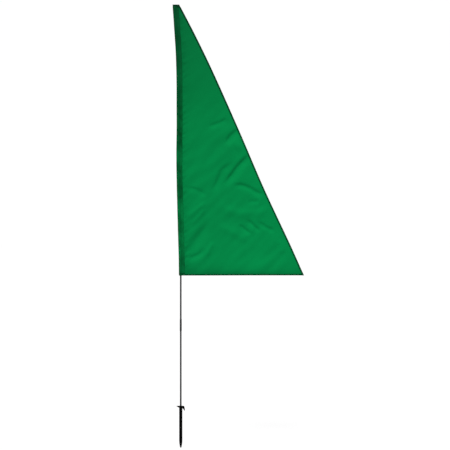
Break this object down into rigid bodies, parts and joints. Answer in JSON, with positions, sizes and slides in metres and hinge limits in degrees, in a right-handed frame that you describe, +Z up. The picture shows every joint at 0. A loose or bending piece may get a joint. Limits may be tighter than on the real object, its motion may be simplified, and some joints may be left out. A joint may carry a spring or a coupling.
{
  "type": "feather flag with pole",
  "caption": "Tall triangular cloth flag with a sleeve over a thin sectional pole, which stands in a socketed ground stake with a tie-down hook.",
  "frame": {"origin": "on the pole's axis at ground level, 28.5 mm under the stake's rim", "axes": "+Z up along the pole, +X from the pole towards the flag's fly edge, Y through the cloth"},
  "size_m": [0.74, 0.0371, 2.4918],
  "materials": {
    "nylon": "thin woven nylon, slightly see-through",
    "nylon_doubled": "two layers of woven nylon",
    "nylon_hem": "turned and stitched woven nylon",
    "fibreglass": "satin black pultruded fibreglass",
    "ferrule": "black anodised, satin",
    "cap_plastic": "matt black",
    "stake_plastic": "black moulded, lightly grained"
  },
  "bodies": {
    "stake": {"ground_stake": "stake_plastic"},
    "butt_cap": {"pole_butt_cap": "cap_plastic"},
    "section_1": {"pole_section_1": "fibreglass", "ferrule_1": "ferrule"},
    "section_2": {"pole_section_2": "fibreglass", "ferrule_2": "ferrule"},
    "section_3": {"pole_section_3": "fibreglass", "ferrule_3": "ferrule"},
    "section_4": {"pole_section_4": "fibreglass", "pole_tip_cap": "cap_plastic"},
    "flag": {"pole_sleeve": "nylon_doubled", "sleeve_mouth_hem": "nylon_doubled", "top_closure": "nylon_hem", "flag_panel": "nylon", "fly_hem": "nylon_hem", "bottom_hem": "nylon_hem"}
  },
  "joints": [
    {"name": "pole_lift", "type": "slide", "parent": "stake", "child": "butt_cap", "axis": [0, 0, 1], "range_m": [0, 0.145]},
    {"name": "pole_turn", "type": "hinge", "parent": "butt_cap", "child": "section_1", "pos_m": [0, 0, -0.1117], "axis": [0, 0, 1], "continuous": true},
    {"name": "joint_1_pull", "type": "slide", "parent": "section_1", "child": "section_2", "axis": [0, 0, 1], "range_m": [0, 0.0345]},
    {"name": "joint_2_pull", "type": "slide", "parent": "section_2", "child": "section_3", "axis": [-0.0258, 0, 0.9997], "range_m": [0, 0.0345]},
    {"name": "joint_3_pull", "type": "slide", "parent": "section_3", "child": "section_4", "axis": [-0.0044, 0, 1], "range_m": [0, 0.0345]},
    {"name": "flag_lift", "type": "slide", "parent": "section_4", "child": "flag", "axis": [-0.0449, 0, 0.999], "range_m": [0, 0.03]}
  ]
}
